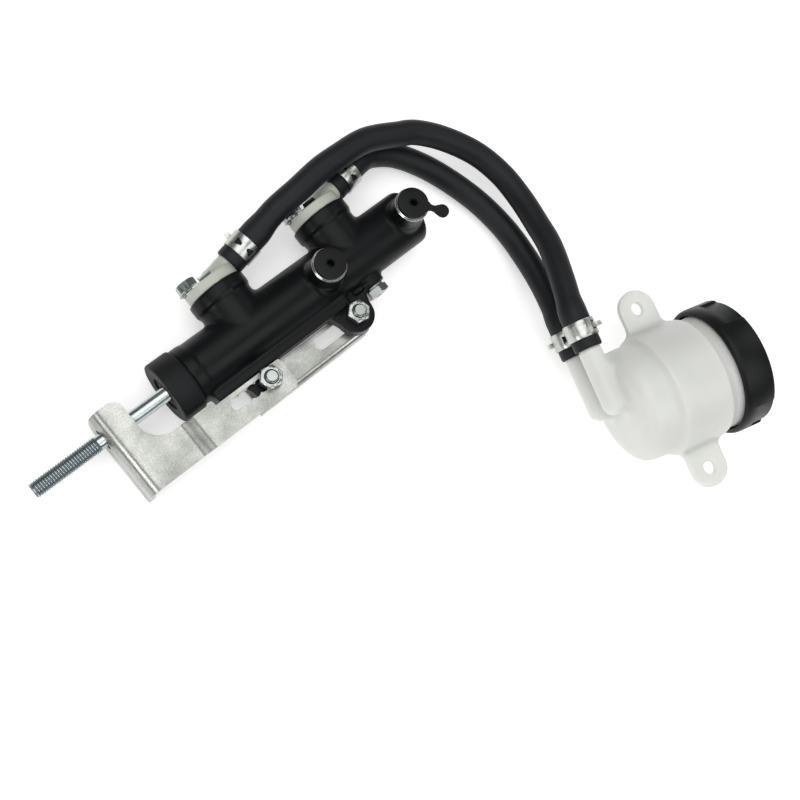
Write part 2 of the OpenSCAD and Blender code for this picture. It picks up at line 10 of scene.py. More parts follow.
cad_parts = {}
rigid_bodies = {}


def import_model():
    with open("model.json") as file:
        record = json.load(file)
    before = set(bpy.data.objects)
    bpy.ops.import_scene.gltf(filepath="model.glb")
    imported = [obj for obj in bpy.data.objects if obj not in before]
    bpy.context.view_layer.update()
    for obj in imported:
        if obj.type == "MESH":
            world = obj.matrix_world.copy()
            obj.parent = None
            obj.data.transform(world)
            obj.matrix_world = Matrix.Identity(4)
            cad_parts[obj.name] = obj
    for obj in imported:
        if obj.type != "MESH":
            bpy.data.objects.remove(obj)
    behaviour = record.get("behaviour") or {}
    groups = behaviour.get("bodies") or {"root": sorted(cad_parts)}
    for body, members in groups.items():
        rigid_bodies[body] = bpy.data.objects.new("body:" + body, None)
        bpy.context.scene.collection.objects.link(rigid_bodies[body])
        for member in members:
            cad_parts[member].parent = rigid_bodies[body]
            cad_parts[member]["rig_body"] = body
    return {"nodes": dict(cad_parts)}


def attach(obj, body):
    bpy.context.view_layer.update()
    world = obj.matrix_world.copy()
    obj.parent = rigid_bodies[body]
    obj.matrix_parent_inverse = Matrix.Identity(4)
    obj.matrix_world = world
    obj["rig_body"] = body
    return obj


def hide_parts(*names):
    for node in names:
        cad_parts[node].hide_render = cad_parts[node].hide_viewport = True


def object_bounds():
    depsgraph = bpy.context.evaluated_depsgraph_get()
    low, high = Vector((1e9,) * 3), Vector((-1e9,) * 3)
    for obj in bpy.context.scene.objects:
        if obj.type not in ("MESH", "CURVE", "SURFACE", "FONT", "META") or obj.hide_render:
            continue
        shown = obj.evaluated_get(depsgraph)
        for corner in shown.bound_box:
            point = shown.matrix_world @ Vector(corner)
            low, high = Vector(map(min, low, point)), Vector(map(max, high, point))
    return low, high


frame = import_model()
cad_low, cad_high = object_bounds()
mm = 0.001

# ---- Bench, soft boxes and camera ------------------------------------------
# A white acrylic bench top, lit faintly from below, under big soft boxes, as a parts seller lays a kit out.
# The camera stands almost overhead, turned so that the cylinder runs up to the right.


def colour(code):
    """The linear colour of an sRGB hex code."""
    parts = [int(code[k:k + 2], 16) / 255 for k in (1, 3, 5)]
    return [p / 12.92 if p <= 0.04045 else ((p + 0.055) / 1.055) ** 2.4 for p in parts] + [1.0]


def output_of(source):
    """The output in use of a node. An output is given back as it is."""
    return next(o for o in source.outputs if o.enabled) if isinstance(source, bpy.types.Node) else source


def add_node(tree, kind, inputs=(), **settings):
    """Adds a node with its settings; an input is a value, or another node or its output to link from."""
    node = tree.nodes.new(kind)
    for name, value in settings.items():
        setattr(node, name, value)
    for key, value in dict(inputs).items():
        value = output_of(value)
        if isinstance(value, bpy.types.NodeSocket):
            tree.links.new(value, node.inputs[key])
        else:
            node.inputs[key].default_value = value
    return node


def new_material(name, code, roughness, metallic=0.0, **uniform):
    """A material of one Principled shader, with what is the same all over set on its own sockets. It comes with
    its tree, its shader and the piece's own coordinates, for the patterns."""
    made = bpy.data.materials.new(name)
    made.use_nodes = True
    shader = made.node_tree.nodes["Principled BSDF"]
    shader.inputs["Base Color"].default_value = colour(code)
    shader.inputs["Roughness"].default_value = roughness
    shader.inputs["Metallic"].default_value = metallic
    for key, value in uniform.items():
        shader.inputs[key.replace("_", " ")].default_value = value
    where = add_node(made.node_tree, "ShaderNodeTexCoord").outputs["Object"]
    return made, made.node_tree, shader, where


def lead(shader, **sources):
    """Links each node to the shader's input of that name."""
    for key, source in sources.items():
        shader.id_data.links.new(output_of(source), shader.inputs[key.replace("_", " ")])


bench_white, tree, shader, where = new_material("bench_top_white_acrylic", "#f4f4f3", 0.7,
                                                Emission_Strength=0.42)
shader.inputs["Emission Color"].default_value = colour("#ffffff")
# Acrylic: a faint mottle over a few centimetres, too weak to draw the eye
mottle = add_node(tree, "ShaderNodeTexNoise", {"Vector": where, "Scale": 30.0})
shade = add_node(tree, "ShaderNodeMapRange", {"Value": mottle, "To Min": 0.66, "To Max": 0.74})
lead(shader, Roughness=shade)

bench_z = cad_low.z - 0.05 * mm
bench = bpy.data.objects.new("bench", bpy.data.meshes.new("bench"))
bench.data.from_pydata([(x, y, bench_z) for x, y in ((-3, -3), (3, -3), (3, 3), (-3, 3))], [], [(0, 1, 2, 3)])
bench.data.materials.append(bench_white)
bpy.context.scene.collection.objects.link(bench)

soft_boxes = [
    # name, place, aimed at, width and height, watts
    ("box_over_left", (0.02, 0.20, 1.05), (0.12, 0.04, 0), (1.3, 0.9), 7.0),
    ("box_over_right", (0.30, -0.80, 0.95), (0.18, -0.06, 0), (1.1, 0.7), 5.0),
    ("box_right", (0.95, -0.05, 0.65), (0.20, -0.06, 0), (0.4, 0.5), 1.0),
    ("box_low_left", (-0.70, -0.10, 0.40), (0.10, -0.02, 0), (0.5, 0.3), 1.9),
]
for name, place, aim, (width, height), watts in soft_boxes:
    lamp = bpy.data.lights.new(name, "AREA")
    lamp.shape, lamp.size, lamp.size_y, lamp.energy = "RECTANGLE", width, height, watts
    box = bpy.data.objects.new(name, lamp)
    box.location = place
    box.rotation_euler = (Vector(aim) - Vector(place)).to_track_quat("-Z", "Y").to_euler()
    bpy.context.scene.collection.objects.link(box)

room = bpy.data.worlds.new("white_room")
room.use_nodes = True
room.node_tree.nodes["Background"].inputs["Color"].default_value = colour("#f3f5f7")
room.node_tree.nodes["Background"].inputs["Strength"].default_value = 0.20
bpy.context.scene.world = room
bpy.context.scene.view_settings.view_transform = "Standard"

camera = bpy.data.objects.new("camera", bpy.data.cameras.new("camera"))
camera.data.lens, camera.data.sensor_width = 50.5, 36
camera.data.clip_start, camera.data.clip_end = 0.01, 10
eye = Vector((-0.0181, -0.0626, 0.5013))
target = Vector((0.1553, -0.0678, 0))
view_up = Vector((0.5929, 0.7808, 0.1969))
back = (eye - target).normalized()
right = view_up.cross(back).normalized()
camera.matrix_world = Matrix.Translation(eye) @ Matrix((right, back.cross(right), back)).transposed().to_4x4()
bpy.context.scene.collection.objects.link(camera)
bpy.context.scene.camera = camera

# ---- Feed hoses and their clamps -------------------------------------------
# Two moulded EPDM hoses carry fluid from the reservoir's twin outlets to the two inlets of the
# cylinder. Each end is pushed over a barb, which stretches it, and held by a spring-band clamp
# of zinc-plated spring steel.
rod_out = 70.0
inlets = [48.3, 110.7]
reservoir_at = Vector((263.8, -146.8, 16.62))
tilt, yaw = math.radians(5), math.radians(-16)
cap_way = Vector((math.cos(tilt) * math.cos(yaw), math.cos(tilt) * math.sin(yaw), math.sin(tilt)))
ear_way = Vector((-math.sin(yaw), math.cos(yaw), 0))
rise_way = cap_way.cross(ear_way)
barb_len = 20
# Each inlet's tube: its length, its rise from the bore and its swing up from the bench
tubes = [(11, math.radians(10.3), math.radians(12)), (13, math.radians(12), 0.0)]
barb_ways = [Vector((math.cos(rise) * math.cos(swing), math.sin(rise), math.cos(rise) * math.sin(swing)))
             for _, rise, swing in tubes]


def barb_point(inlet, along):
    """A point on an inlet's barb, in millimetres."""
    return Vector((rod_out + inlets[inlet] + 2, 29.5, 0)) + (tubes[inlet][0] + along) * barb_ways[inlet]


def reservoir_point(e, n, a):
    """A point by the reservoir's own axes, in millimetres: to the upper ear, up, and to the cap."""
    return reservoir_at + e * ear_way + n * rise_way + a * cap_way


# The middle of each hose between its barbs, X from the face of the dust cover
hose_middles = [
    [(92.3, 37.6, 10), (106.8, 38.8, 12.8), (121, 40.5, 13.8), (133, 40.5, 14.2), (146, 40, 14),
     (155, 38, 12.5),
     (166, 34, 10), (176, 30, 7.5), (188, 20, 4), (198, 5, 2), (202, -11, 2), (201, -27, 4),
     (197, -42, 8), (192, -55, 13), (183, -70, 19)],
    [(155, 35, -3), (166, 29, -6), (176, 17, -8.5), (183, 2, -9), (188, -15, -9), (190, -33, -8.5),
     (188, -50, -6), (183, -68, -1.5)],
]


def smooth_run(points, steps):
    """Catmull-Rom through the points, with the end points doubled."""
    p = [points[0]] + points + [points[-1]]
    run = []
    for k in range(1, len(points)):
        for t in (j / steps for j in range(steps)):
            run.append(0.5 * (2 * p[k] + (p[k + 1] - p[k - 1]) * t
                              + (2 * p[k - 1] - 5 * p[k] + 4 * p[k + 1] - p[k + 2]) * t ** 2
                              + (3 * p[k] - p[k - 1] - 3 * p[k + 1] + p[k + 2]) * t ** 3))
    return run + [points[-1]]


def step_up(x, start, stop):
    """0 before start, 1 after stop, and a smooth rise between."""
    t = min(1, max(0, (x - start) / (stop - start)))
    return t * t * (3 - 2 * t)


def hose_radius(from_end):
    """Radius of a hose at a distance from its nearer end: swollen over the barb, nipped by the clamp."""
    swollen = 7.05 - 0.2 * step_up(from_end, 4, 6) * (1 - step_up(from_end, 13, 15))
    return swollen - 0.85 * step_up(from_end, 19, 28) - 0.45 * (1 - step_up(from_end, 0, 0.7))


epdm, tree, shader, where = new_material("epdm_rubber_moulded_hose", "#141517", 0.46, Specular_IOR_Level=0.22)
# Moulded rubber: a satin skin with a millimetre-fine orange peel and faint dusty bloom
bloom = add_node(tree, "ShaderNodeTexNoise", {"Vector": where, "Scale": 60.0, "Detail": 5.0})
tint = add_node(tree, "ShaderNodeMix", {0: bloom, 6: colour("#131416"), 7: colour("#212327")}, data_type="RGBA")
gloss = add_node(tree, "ShaderNodeMapRange", {"Value": bloom, "To Min": 0.4, "To Max": 0.58})
peel = add_node(tree, "ShaderNodeTexNoise", {"Vector": where, "Scale": 900.0, "Detail": 3.0})
bump = add_node(tree, "ShaderNodeBump", {"Height": peel, "Strength": 0.18, "Distance": 0.15 * mm})
lead(shader, Base_Color=tint, Roughness=gloss, Normal=bump)

for k, (name, side) in enumerate((("primary_feed_hose", 1), ("secondary_feed_hose", -1))):
    route = [barb_point(k, s) for s in (0, 10, barb_len)]
    route += [Vector(p) + Vector((rod_out, 0, 0)) for p in hose_middles[k]]
    route += [reservoir_point(33 + s, side * 9.5, -35.5) for s in (barb_len, 10, 0)]
    run = smooth_run(route, 10)
    # how far along the hose each point lies, which its radius depends on
    gone = [0.0]
    for a, b in zip(run, run[1:]):
        gone.append(gone[-1] + (b - a).length)
    line = bpy.data.curves.new(name, "CURVE")
    line.dimensions, line.bevel_depth, line.bevel_resolution, line.use_fill_caps = "3D", 1.0 * mm, 8, True
    spline = line.splines.new("POLY")
    spline.points.add(len(run) - 1)
    for point, at, far in zip(spline.points, run, gone):
        point.co = (*(at * mm), 1)
        point.radius = hose_radius(min(far, gone[-1] - far))
    spline.use_smooth = True
    line.materials.append(epdm)
    hose = bpy.data.objects.new(name, line)
    bpy.context.scene.collection.objects.link(hose)
    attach(hose, "root")
    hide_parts(name.replace("feed_", ""))

clamp_steel, tree, shader, where = new_material("spring_steel_zinc_flake", "#a4a7a3", 0.28, 1.0)
# Zinc flake over rolled strip: a soft grey metal, mottled over two millimetres and less
flake = add_node(tree, "ShaderNodeTexNoise", {"Vector": where, "Scale": 500.0, "Detail": 6.0})
tint = add_node(tree, "ShaderNodeMix", {0: flake, 6: colour("#8f928d"), 7: colour("#dcdfd9")}, data_type="RGBA")
gloss = add_node(tree, "ShaderNodeMapRange", {"Value": flake, "To Min": 0.2, "To Max": 0.42})
bump = add_node(tree, "ShaderNodeBump", {"Height": flake, "Strength": 0.2, "Distance": 0.05 * mm})
lead(shader, Base_Color=tint, Roughness=gloss, Normal=bump)


def settle(piece):
    """Turns a piece's modifiers into plain mesh."""
    evaluated = piece.evaluated_get(bpy.context.evaluated_depsgraph_get())
    piece.data = bpy.data.meshes.new_from_object(evaluated)
    piece.modifiers.clear()
    return piece


def place_piece(shape, name, material, body, slot, *stands_for, smooth=35, modifiers=()):
    """Makes a bmesh the piece of that name, finishes it with its modifiers, and puts it on its body."""
    mesh = bpy.data.meshes.new(name)
    shape.to_mesh(mesh)
    shape.free()
    piece = bpy.data.objects.new(name, mesh)
    bpy.context.scene.collection.objects.link(piece)
    mesh.materials.append(material)
    for kind, settings in modifiers:
        modifier = piece.modifiers.new(kind.lower(), kind)
        for key, value in settings.items():
            setattr(modifier, key, value)
    if modifiers:
        settle(piece)
    piece.data.shade_smooth()
    piece.data.set_sharp_from_angle(angle=math.radians(smooth))
    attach(piece, body)
    if stands_for:
        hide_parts(*stands_for)
    return piece


band_width, band_inside, band_thick, tongue_half = 8.5, 7.02, 0.75, 1.35
# Round the band from its tangs: angle, half height of the window there, and whether it is cut out
band_stations = [(-2, 2.1, False), (5, 2.1, True), (72, 2.1, False), (140, 1.9, True), (167, 0.55, False),
                 (193, 0.55, True), (220, 1.9, False), (300, 1.6, False), (350, 2.1, False), (358, 2.1, False)]


def band_point(place, angle, height, lift=0.0):
    a = math.radians(angle)
    r = band_inside + lift
    return place @ Vector((r * math.cos(a), r * math.sin(a), height)) * mm


def spring_band(place):
    """The clamp's strip as a skin: a ring with its windows, and the tongue that runs through its fork."""
    shape = bmesh.new()
    columns = []
    for (a0, h0, cut), (a1, h1, _) in zip(band_stations, band_stations[1:] + [(358 + 2, 2.1, False)]):
        steps = max(1, round((a1 - a0) / 5))
        columns += [(a0 + (a1 - a0) * j / steps, h0 + (h1 - h0) * j / steps, cut) for j in range(steps)]
    rows = [[shape.verts.new(band_point(place, a, z)) for z in (-band_width / 2, -h, h, band_width / 2)]
            for a, h, _ in columns]
    for j, (_, _, cut) in enumerate(columns):
        this, following = rows[j], rows[(j + 1) % len(rows)]
        for k in (0, 1, 2):
            if not (cut and k == 1):
                shape.faces.new((this[k], following[k], following[k + 1], this[k + 1]))
    tongue = [[shape.verts.new(band_point(place, a, z, 0.12)) for z in (-tongue_half, tongue_half)]
              for a in range(-6, 67, 6)]
    for one, two in zip(tongue, tongue[1:]):
        shape.faces.new((one[0], two[0], two[1], one[1]))
    # a tang stands up across each free end: over the whole band, and at the end of the tongue
    for angle, half in ((1, band_width / 2 - 0.2), (66, tongue_half)):
        foot = [shape.verts.new(band_point(place, angle, z, 0.3)) for z in (-half, half)]
        head = [shape.verts.new(band_point(place, angle + 7, z * 0.8, 3.6)) for z in (-half, half)]
        shape.faces.new((foot[0], foot[1], head[1], head[0]))
    return shape


def frame_on(middle, axis, across):
    """Places a shape: its Z along axis, its X across, its origin at middle, in millimetres."""
    z = axis.normalized()
    y = z.cross(across).normalized()
    return Matrix.Translation(middle) @ Matrix((y.cross(z), y, z)).transposed().to_4x4()


clamp_at = 9.5
for name, middle, axis, across in (
        ("primary_cylinder_clamp", barb_point(0, clamp_at), barb_ways[0], Vector((-0.04, 0.17, -0.98))),
        ("secondary_cylinder_clamp", barb_point(1, clamp_at), barb_ways[1], Vector((-0.04, 0.17, -0.98))),
        ("primary_reservoir_clamp", reservoir_point(33 + clamp_at, 9.5, -35.5), ear_way, rise_way),
        ("secondary_reservoir_clamp", reservoir_point(33 + clamp_at, -9.5, -35.5), ear_way, -rise_way)):
    node = "cylinder_clamps" if "cylinder" in name else "reservoir_clamps"
    place_piece(
        spring_band(frame_on(middle, axis, across)), name, clamp_steel, "root", "spring_steel", node,
        modifiers=[("SOLIDIFY", {"thickness": band_thick * mm, "offset": 1.0}),
                   ("BEVEL", {"width": 0.12 * mm, "segments": 2, "limit_method": "ANGLE"})])

# ---- Cylinder casting and its machined ports --------------------------------
# The tandem cylinder is one gravity casting in aluminium, with soft fillets where the bosses meet
# the barrel, painted satin black all over. The port faces are machined after painting, so their
# chamfers show bare metal.
cast_black, tree, shader, where = new_material("cast_aluminium_satin_black_paint", "#0b0c0d", 0.36,
                                               Specular_IOR_Level=0.16)
# Cast skin under paint: a grain of 1.5 mm and finer and shallow pits about 2.4 mm apart, a little coarser
# than the real ones so that they show, and wide cloudy changes of gloss
skin = add_node(tree, "ShaderNodeTexNoise", {"Vector": where, "Scale": 700.0, "Detail": 4.0, "Roughness": 0.6})
pits = add_node(tree, "ShaderNodeTexVoronoi", {"Vector": where, "Scale": 420.0})
pit_depth = add_node(tree, "ShaderNodeMapRange", {"Value": pits, "From Max": 0.35})
relief = add_node(tree, "ShaderNodeMath", {0: skin, 1: pit_depth}, operation="ADD")
bump = add_node(tree, "ShaderNodeBump", {"Height": relief, "Strength": 0.22, "Distance": 0.12 * mm})
cloud = add_node(tree, "ShaderNodeTexNoise", {"Vector": where, "Scale": 45.0, "Detail": 3.0})
gloss = add_node(tree, "ShaderNodeMapRange", {"Value": cloud, "From Min": 0.3, "From Max": 0.7, "To Min": 0.30,
                                              "To Max": 0.46})
tint = add_node(tree, "ShaderNodeMix", {0: cloud, 6: colour("#08090a"), 7: colour("#101214")}, data_type="RGBA")
lead(shader, Base_Color=tint, Roughness=gloss, Normal=bump)


def copy_of(node):
    """A CAD node's shape as a bmesh, with its loose triangles merged."""
    shape = bmesh.new()
    shape.from_mesh(frame["nodes"][node].data)
    bmesh.ops.remove_doubles(shape, verts=shape.verts, dist=0.001 * mm)
    return shape


def soft_corners(voxel, fillet, rounds):
    """Modifiers that fill inside corners to a fillet radius and round off the outside ones, in mm."""
    return [("REMESH", {"mode": "VOXEL", "voxel_size": voxel * mm}),
            ("DISPLACE", {"strength": fillet * mm, "mid_level": 0.0}),
            ("REMESH", {"mode": "VOXEL", "voxel_size": voxel * mm}),
            ("DISPLACE", {"strength": -fillet * mm, "mid_level": 0.0}),
            ("SMOOTH", {"factor": 0.5, "iterations": rounds})]


place_piece(copy_of("cylinder_body"), "cylinder_casting", cast_black, "root", "cast_black", "cylinder_body",
            smooth=180, modifiers=soft_corners(0.65, 0.9, 3))


def turned(shape, profile, place=Matrix(), sides=64, closed=True):
    """Turns a profile of (radius, height) round the placed Z axis. A third number makes that ring a hexagon
    with its flats at the radius and corners that rise by that slope. Closed joins the last ring to the first."""
    rings = []
    for radius, height, *corner in profile:
        ring = []
        for k in range(sides if radius else 1):
            turn = 2 * math.pi * k / sides
            r = radius / math.cos((turn + math.pi / 6) % (math.pi / 3) - math.pi / 6) if corner else radius
            z = height + corner[0] * (r - radius) if corner else height
            ring.append(shape.verts.new(place @ Vector((r * math.cos(turn), r * math.sin(turn), z)) * mm))
        rings.append(ring)
    for one, two in list(zip(rings, rings[1:])) + ([(rings[-1], rings[0])] if closed else []):
        for k in range(sides):
            corners = (one[k % len(one)], one[(k + 1) % len(one)], two[(k + 1) % len(two)], two[k % len(two)])
            corners = list(dict.fromkeys(corners))
            if len(corners) > 2:
                shape.faces.new(corners)
    bmesh.ops.recalc_face_normals(shape, faces=shape.faces)
    return shape


bare_metal, tree, shader, where = new_material("aluminium_bare_turned", "#d3d4d3", 0.28, 1.0)
# Turned faces: the feed marks are too fine to show, so they are a sparkle of brighter and duller metal
# about 0.7 mm across
marks = add_node(tree, "ShaderNodeTexNoise", {"Vector": where, "Scale": 1500.0, "Detail": 2.0})
gloss = add_node(tree, "ShaderNodeMapRange", {"Value": marks, "To Min": 0.2, "To Max": 0.38})
lead(shader, Roughness=gloss)

ports = [90.4, 141.4]
port_ring = [(8.17, 25.2), (8.17, 25.75), (7.45, 26.52), (4.9, 26.52), (4.15, 25.7), (4.15, 19), (4.8, 19),
             (4.8, 25.2)]
faces = bmesh.new()
for x in ports:
    turned(faces, port_ring, Matrix.Translation((rod_out + x, 0, 0)))
place_piece(faces, "machined_port_faces", bare_metal, "root", "piston_alloy")

# ---- Dust cover, circlip and stop washer at the mouth -----------------------
# A moulded nitrile cover is pushed over the mouth of the bore; its front is a shallow dish. Inside
# it a sprung circlip holds the stop washer, which keeps the primary piston in.
nitrile, tree, shader, where = new_material("nitrile_rubber_moulded", "#121314", 0.55, Specular_IOR_Level=0.2)
# Moulded rubber: matt, with a grey bloom in patches of a centimetre and the mould's spark-eroded grain, drawn
# at 0.9 mm so that it shows
bloom = add_node(tree, "ShaderNodeTexNoise", {"Vector": where, "Scale": 110.0, "Detail": 5.0})
tint = add_node(tree, "ShaderNodeMix", {0: bloom, 6: colour("#0e0f10"), 7: colour("#1b1c1e")}, data_type="RGBA")
grain = add_node(tree, "ShaderNodeTexNoise", {"Vector": where, "Scale": 1100.0, "Detail": 3.0})
bump = add_node(tree, "ShaderNodeBump", {"Height": grain, "Strength": 0.25, "Distance": 0.1 * mm})
lead(shader, Base_Color=tint, Normal=bump)

along_bore = Matrix.Translation((rod_out, 0, 0)) @ Matrix.Rotation(math.radians(90), 4, "Y")
cover_profile = [(13.02, 12.3), (13.02, 3.32), (4.4, 3.32), (4.2, 3.1), (4.2, 0.9), (4.35, 0.65), (5.3, 0.6),
                 (5.5, 0.75), (5.7, 1.2), (8.1, 1.2), (8.35, 1.0), (8.4, 0.4), (8.65, 0.15), (12.9, 0.12),
                 (13.3, 0.0), (14.4, 0.0), (15.1, 0.3), (15.37, 0.95), (15.4, 1.8), (15.4, 10.6),
                 (15.2, 11.4), (14.7, 12.0), (13.9, 12.3)]
place_piece(turned(bmesh.new(), cover_profile, along_bore, sides=96), "bore_dust_cover", nitrile, "root",
            "cover_rubber", "dust_cover", smooth=40)

spring_steel, tree, shader, where = new_material("spring_steel_oiled", "#80827f", 0.34, 1.0)
# Blanked and tempered steel under a film of assembly grease: uneven gloss over a few millimetres
grease = add_node(tree, "ShaderNodeTexNoise", {"Vector": where, "Scale": 260.0, "Detail": 4.0})
gloss = add_node(tree, "ShaderNodeMapRange", {"Value": grease, "To Min": 0.2, "To Max": 0.5})
lead(shader, Roughness=gloss)

# The circlip is widest opposite its gap
clip = bmesh.new()
bent = [(math.radians(a), 8.8, 6.7 + 0.5 * abs(math.cos(math.radians(a / 2)))) for a in range(22, 339, 6)]
for (a0, out0, in0), (a1, out1, in1) in zip(bent, bent[1:]):
    corners = [(a0, out0), (a1, out1), (a1, in1), (a0, in0)]
    corners = [Vector((-r * math.sin(a), r * math.cos(a), 5.0)) for a, r in corners]
    clip.faces.new([clip.verts.new(along_bore @ corner * mm) for corner in corners])
# Its two lugs, each with a hole for the pliers
for side in (-1, 1):
    lug = [(math.radians(90 + side * 14) + 2 * math.pi * k / 20) for k in range(20)]
    middle = Vector((-side * 2.3, 6.4, 5.0))
    outer, inner = [[clip.verts.new(along_bore @ (middle + Vector((r * math.cos(t), r * math.sin(t), 0))) * mm)
                     for t in lug] for r in (1.55, 0.75)]
    for k in range(20):
        clip.faces.new((outer[k], outer[(k + 1) % 20], inner[(k + 1) % 20], inner[k]))
bmesh.ops.remove_doubles(clip, verts=clip.verts, dist=0.01 * mm)
bmesh.ops.recalc_face_normals(clip, faces=clip.faces)
place_piece(clip, "bore_circlip", spring_steel, "root", "spring_steel", "circlip",
            modifiers=[("SOLIDIFY", {"thickness": 1.1 * mm, "offset": 0.0}),
                       ("BEVEL", {"width": 0.12 * mm, "segments": 2, "limit_method": "ANGLE"})])
washer_profile = [(7.7, 6.3), (7.85, 6.45), (7.85, 7.65), (7.7, 7.8), (4.05, 7.8), (3.9, 7.65), (3.9, 6.45),
                  (4.05, 6.3)]
place_piece(turned(bmesh.new(), washer_profile, along_bore), "piston_stop_washer", spring_steel, "root",
            "spring_steel", "stop_washer")

# ---- Pistons, cups and springs inside the bore -------------------------------
# Two turned and anodised aluminium pistons, each with a moulded cup on its nose, and a coil spring of round
# wire ahead of each. Pistons and cups keep the CAD's own shapes; the springs are wound here.
anodised, tree, shader, where = new_material("aluminium_hard_anodised", "#a79f88", 0.38, 1.0)
# Hard anodising: a dull olive gold that varies over about a centimetre
stain = add_node(tree, "ShaderNodeTexNoise", {"Vector": where, "Scale": 90.0, "Detail": 4.0})
tint = add_node(tree, "ShaderNodeMix", {0: stain, 6: colour("#8c8570"), 7: colour("#bdb59c")}, data_type="RGBA")
lead(shader, Base_Color=tint)

cup_rubber, tree, shader, where = new_material("epdm_rubber_moulded_seal", "#111213", 0.45,
                                               Specular_IOR_Level=0.3)
# Seals come greased: smooth black rubber, wet-looking in places
wet = add_node(tree, "ShaderNodeTexNoise", {"Vector": where, "Scale": 200.0, "Detail": 3.0})
gloss = add_node(tree, "ShaderNodeMapRange", {"Value": wet, "To Min": 0.25, "To Max": 0.6})
lead(shader, Roughness=gloss)


def coat(material, *nodes):
    """Gives its finish to each node that keeps the shape it has."""
    for node in nodes:
        slots = frame["nodes"][node].data.materials
        for k in range(len(slots)):
            slots[k] = material


coat(anodised, "primary_piston", "secondary_piston")
coat(cup_rubber, "primary_cup", "primary_rear_seal", "secondary_front_cup", "secondary_rear_cup", "inlet_seals",
     "diaphragm")


def geometry_tree(name, **sizes):
    """A Geometry Nodes tree with those number inputs, a material input and a mesh output, and its two ends."""
    tree = bpy.data.node_groups.new(name, "GeometryNodeTree")
    for key, value in sizes.items():
        kind = "NodeSocketInt" if isinstance(value, int) else "NodeSocketFloat"
        tree.interface.new_socket(key.replace("_", " "), in_out="INPUT", socket_type=kind).default_value = value
    tree.interface.new_socket("Finish", in_out="INPUT", socket_type="NodeSocketMaterial")
    tree.interface.new_socket("Mesh", in_out="OUTPUT", socket_type="NodeSocketGeometry")
    return tree, add_node(tree, "NodeGroupInput"), add_node(tree, "NodeGroupOutput")


winding, inputs, outputs = geometry_tree("coil_spring", Coil_radius=6.0, Wire_radius=0.8, Length=30.0,
                                         Turns=8.0, From=0.0)
take = inputs.outputs
helix = add_node(winding, "GeometryNodeCurveSpiral", {
    "Resolution": 40, "Rotations": take["Turns"], "Start Radius": take["Coil radius"],
    "End Radius": take["Coil radius"], "Height": take["Length"]})
wire = add_node(winding, "GeometryNodeCurvePrimitiveCircle", {"Resolution": 12, "Radius": take["Wire radius"]})
swept = add_node(winding, "GeometryNodeCurveToMesh", {"Curve": helix, "Profile Curve": wire, "Fill Caps": True})
offset = add_node(winding, "ShaderNodeCombineXYZ", {"X": take["From"]})
laid = add_node(winding, "GeometryNodeTransform", {"Geometry": swept, "Translation": offset,
                                                   "Rotation": (0, math.radians(90), 0)})
scaled = add_node(winding, "GeometryNodeTransform", {"Geometry": laid, "Scale": (mm, mm, mm)})
real = add_node(winding, "GeometryNodeRealizeInstances", {"Geometry": scaled})
coated = add_node(winding, "GeometryNodeSetMaterial", {"Geometry": real, "Material": take["Finish"]})
winding.links.new(output_of(coated), outputs.inputs["Mesh"])


def grow(name, tree, body, slot, *stands_for, smooth=35, **values):
    """Runs a Geometry Nodes tree with those values and keeps the result as a plain piece."""
    piece = bpy.data.objects.new(name, bpy.data.meshes.new(name))
    bpy.context.scene.collection.objects.link(piece)
    modifier = piece.modifiers.new("grow", "NODES")
    modifier.node_group = tree
    for socket in tree.interface.items_tree:
        if socket.in_out == "INPUT" and socket.name.replace(" ", "_") in values:
            modifier[socket.identifier] = values[socket.name.replace(" ", "_")]
    settle(piece)
    piece.data.shade_smooth()
    piece.data.set_sharp_from_angle(angle=math.radians(smooth))
    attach(piece, body)
    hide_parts(*stands_for)
    return piece


coil_radius, wire_radius = 6.0, 0.8
spring_ends = {"primary_spring": (inlets[0] + 6.4, ports[0] + 3.0, 8.0),
               "secondary_spring": (inlets[1] + 6.4, 143.8, 6.0)}
for node, (start, stop, turns) in spring_ends.items():
    grow(node.replace("spring", "return_spring"), winding, frame["nodes"][node]["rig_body"], "spring_steel",
         node, Coil_radius=coil_radius, Wire_radius=wire_radius, Length=stop - start - 2 * wire_radius, Turns=turns,
         From=rod_out + start + wire_radius, Finish=spring_steel)

# ---- Pushrod -----------------------------------------------------------------
# A steel rod with a ball end that sits in the primary piston and a rolled M8 thread for the pedal
# clevis, zinc plated and blue passivated.
blue_zinc, tree, shader, where = new_material("zinc_plated_steel_blue_passivated", "#a0a6a8", 0.24, 1.0)
# Bright zinc: cold grey with faint blue and yellow drifts of the passivate, and a fine tumbled grain
drift = add_node(tree, "ShaderNodeTexNoise", {"Vector": where, "Scale": 75.0, "Detail": 2.0})
tint = add_node(tree, "ShaderNodeMix", {0: drift, 6: colour("#8b959a"), 7: colour("#b9bab1")}, data_type="RGBA")
grain = add_node(tree, "ShaderNodeTexNoise", {"Vector": where, "Scale": 1400.0, "Detail": 4.0})
gloss = add_node(tree, "ShaderNodeMapRange", {"Value": grain, "To Min": 0.16, "To Max": 0.34})
bump = add_node(tree, "ShaderNodeBump", {"Height": grain, "Strength": 0.03, "Distance": 0.02 * mm})
lead(shader, Base_Color=tint, Roughness=gloss, Normal=bump)


